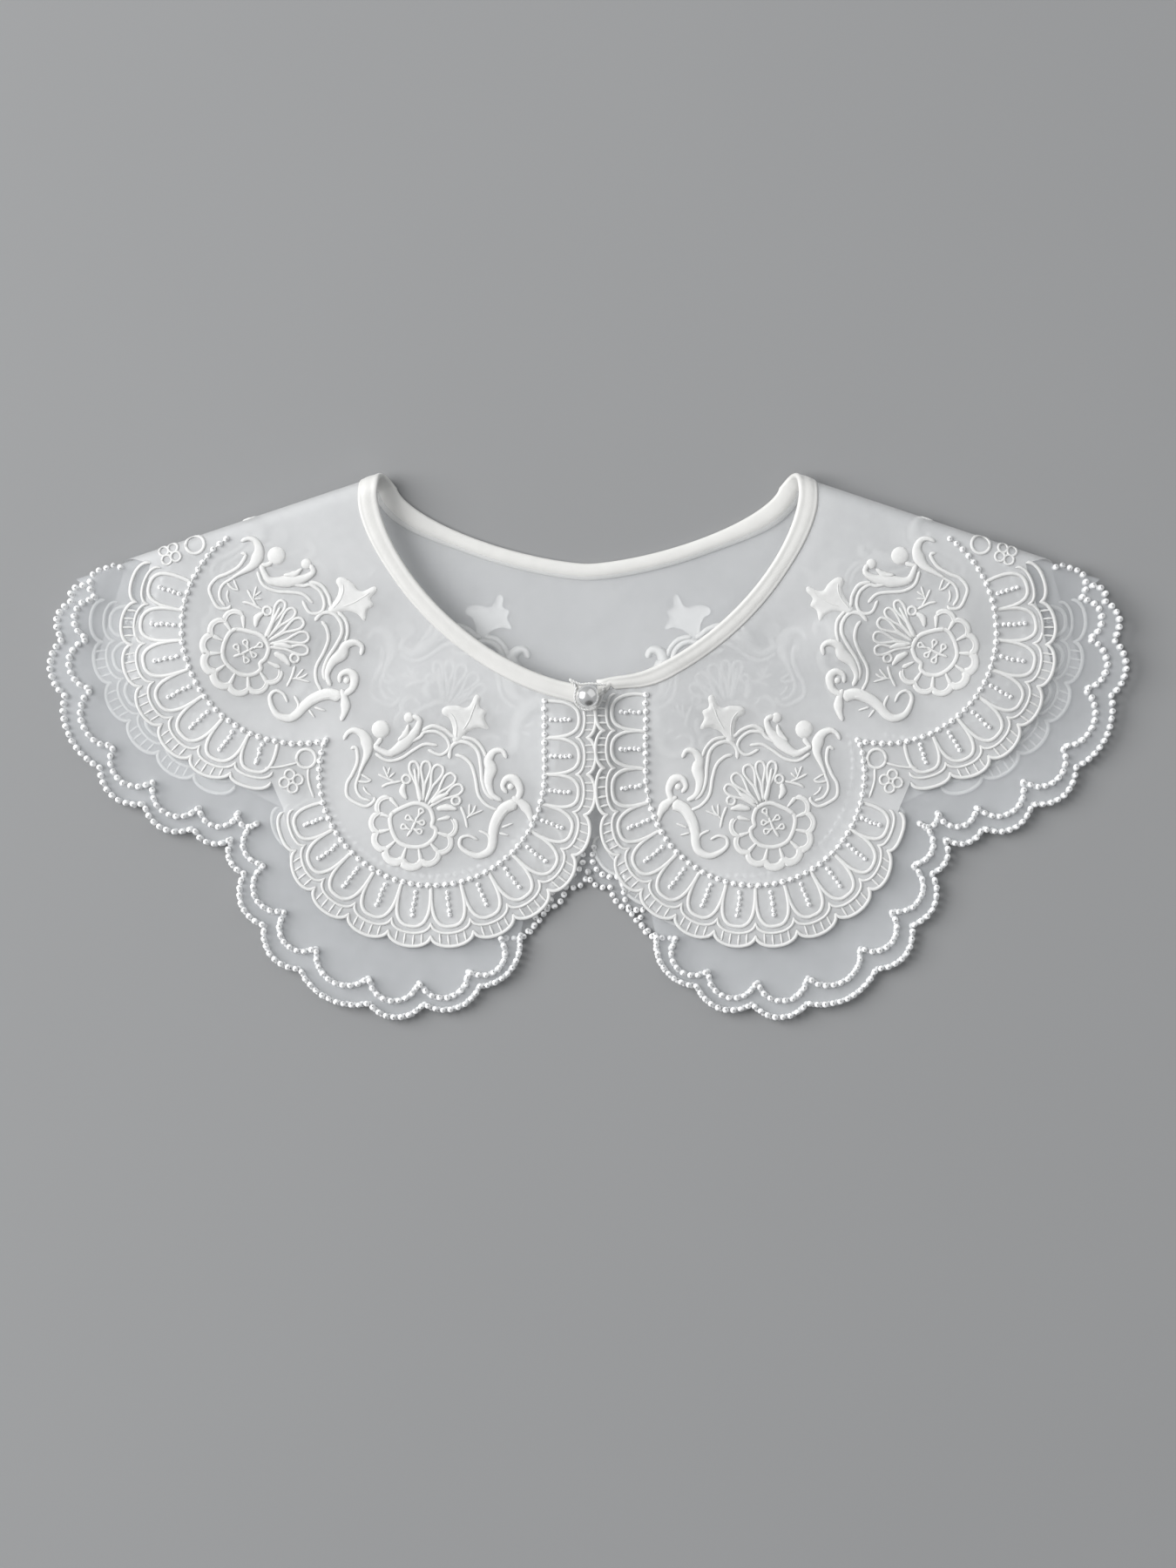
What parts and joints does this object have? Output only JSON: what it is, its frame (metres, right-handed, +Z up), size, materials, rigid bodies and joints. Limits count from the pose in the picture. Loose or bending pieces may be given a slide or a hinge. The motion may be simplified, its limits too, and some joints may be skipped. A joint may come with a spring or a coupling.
{
  "type": "detachable collar",
  "caption": "White sheer cape collar in two scalloped organza layers with scroll embroidery, satin neck binding and a pearl button with loop, folded flat at the shoulders",
  "frame": {"origin": "On the surface that the collar lies on, under the middle of its outline", "axes": "+X across the shoulders to the right of the picture, +Y towards the nape, +Z up from the surface"},
  "size_m": [0.3882, 0.1964, 0.0194],
  "materials": {
    "organza": "sheer bluish white organza with a soft sheen and raised white embroidery",
    "satin": "ivory white satin bias strip, softly shining",
    "pearl": "silvery white pearl, glossy",
    "loop_cord": "fine white cord"
  },
  "bodies": {
    "root": {"upper_layer": "organza", "lower_layer": "organza", "neck_binding": "satin", "pearl_button": "pearl", "button_loop": "loop_cord"}
  },
  "joints": []
}
